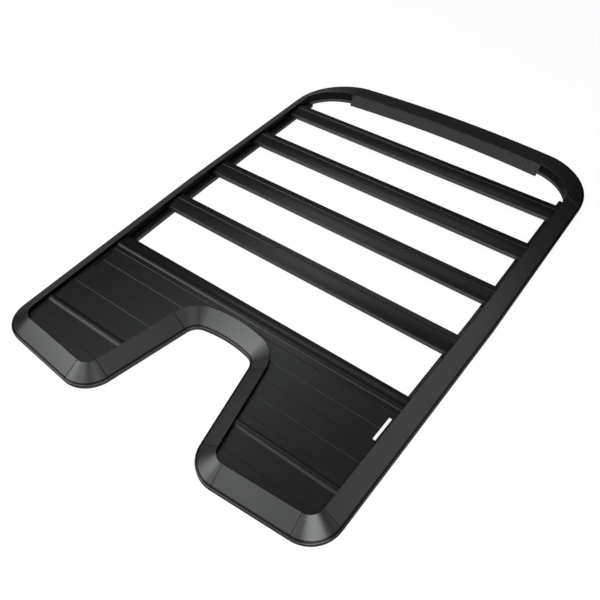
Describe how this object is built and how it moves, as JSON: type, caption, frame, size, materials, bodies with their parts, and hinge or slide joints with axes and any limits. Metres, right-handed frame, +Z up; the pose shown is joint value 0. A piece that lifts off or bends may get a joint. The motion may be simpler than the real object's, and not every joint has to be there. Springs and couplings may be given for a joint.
{
  "type": "platform roof rack",
  "caption": "Low black platform rack for a vehicle roof: fairing frame with a curved front, a rear cut-out between two decked lobes, and flat crossbars on an inner ledge.",
  "frame": {"origin": "middle of the rack's footprint, on the level of its underside", "axes": "+Y along the length towards the curved front, +X to the right side seen from above with the front ahead, +Z up"},
  "size_m": [1.303, 1.9259, 0.049],
  "materials": {
    "frame_coat": "satin black powder coat on aluminium",
    "bar_coat": "satin black powder coat on extruded aluminium",
    "deck_coat": "satin black powder coat on extruded aluminium",
    "sheet_coat": "dark grey coated aluminium sheet"
  },
  "bodies": {
    "root": {"front_rail": "frame_coat", "front_deflector": "sheet_coat", "left_side_rail": "frame_coat", "right_side_rail": "frame_coat", "rear_left_outer_corner": "frame_coat", "rear_right_outer_corner": "frame_coat", "rear_left_end_rail": "frame_coat", "rear_right_end_rail": "frame_coat", "rear_left_inner_corner": "frame_coat", "rear_right_inner_corner": "frame_coat", "cutout_left_rail": "frame_coat", "cutout_right_rail": "frame_coat", "cutout_arch": "frame_coat", "crossbar_1": "bar_coat", "crossbar_2": "bar_coat", "crossbar_3": "bar_coat", "crossbar_4": "bar_coat", "crossbar_5": "bar_coat", "deck_left_plank_1": "deck_coat", "deck_left_plank_2": "deck_coat", "deck_left_plank_3": "deck_coat", "deck_left_plank_4": "deck_coat", "deck_right_plank_1": "deck_coat", "deck_right_plank_2": "deck_coat", "deck_right_plank_3": "deck_coat", "deck_right_plank_4": "deck_coat"}
  },
  "joints": []
}
